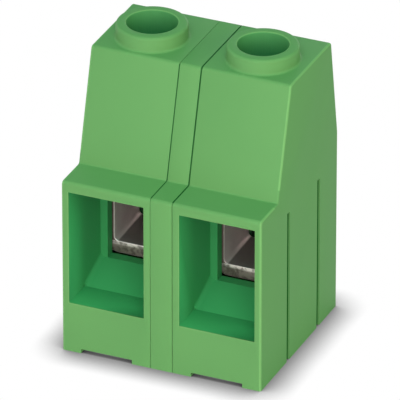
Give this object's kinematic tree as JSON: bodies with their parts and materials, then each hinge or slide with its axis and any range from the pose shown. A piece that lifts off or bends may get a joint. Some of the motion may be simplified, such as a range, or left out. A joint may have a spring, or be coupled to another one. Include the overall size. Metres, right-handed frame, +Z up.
{
  "type": "pcb screw terminal",
  "caption": "Green board-mount screw terminal with rectangular wire entries, a sloped front, round driver collars and rising clamp sleeves.",
  "frame": {"origin": "centre of the footprint on the plane of the feet, where the block meets the board", "axes": "+X along the row of poles to the right as seen from the wire entries, +Y from the wire entries to the back, +Z up from the board"},
  "size_m": [0.0231, 0.0206, 0.0389],
  "materials": {
    "green_polyamide": "injection-moulded polyamide, fine matt texture",
    "spacer_polyamide": "injection-moulded polyamide, fine matt texture",
    "plated_steel": "zinc-plated folded steel strip",
    "screw_steel": "zinc-plated turned steel",
    "tinned_copper": "tin-plated folded copper strip",
    "tinned_pin": "tin-plated copper wire, square drawn"
  },
  "bodies": {
    "block": {"left_housing": "green_polyamide", "right_housing": "green_polyamide", "pitch_spacer": "spacer_polyamide", "left_current_bar": "tinned_copper", "right_current_bar": "tinned_copper", "left_front_pin": "tinned_pin", "left_rear_pin": "tinned_pin", "right_front_pin": "tinned_pin", "right_rear_pin": "tinned_pin"},
    "left_screw": {"left_clamp_screw": "screw_steel"},
    "left_sleeve": {"left_tension_sleeve": "plated_steel"},
    "right_screw": {"right_clamp_screw": "screw_steel"},
    "right_sleeve": {"right_tension_sleeve": "plated_steel"}
  },
  "joints": [
    {"name": "left_screw_turn", "type": "hinge", "parent": "block", "child": "left_screw", "pos_m": [-0.00635, 0.00195, 0.028], "axis": [0, 0, -1], "range_deg": [0, 2957.2]},
    {"name": "left_sleeve_lift", "type": "slide", "parent": "block", "child": "left_sleeve", "axis": [0, 0, 1], "range_m": [0, 0.00575]},
    {"name": "right_screw_turn", "type": "hinge", "parent": "block", "child": "right_screw", "pos_m": [0.00635, 0.00195, 0.028], "axis": [0, 0, -1], "range_deg": [0, 2957.2]},
    {"name": "right_sleeve_lift", "type": "slide", "parent": "block", "child": "right_sleeve", "axis": [0, 0, 1], "range_m": [0, 0.00575]}
  ],
  "couplings": [
    {"joint": "left_screw_turn", "follows": "left_sleeve_lift", "rad_per_m": 8976},
    {"joint": "right_screw_turn", "follows": "right_sleeve_lift", "rad_per_m": 8976}
  ]
}
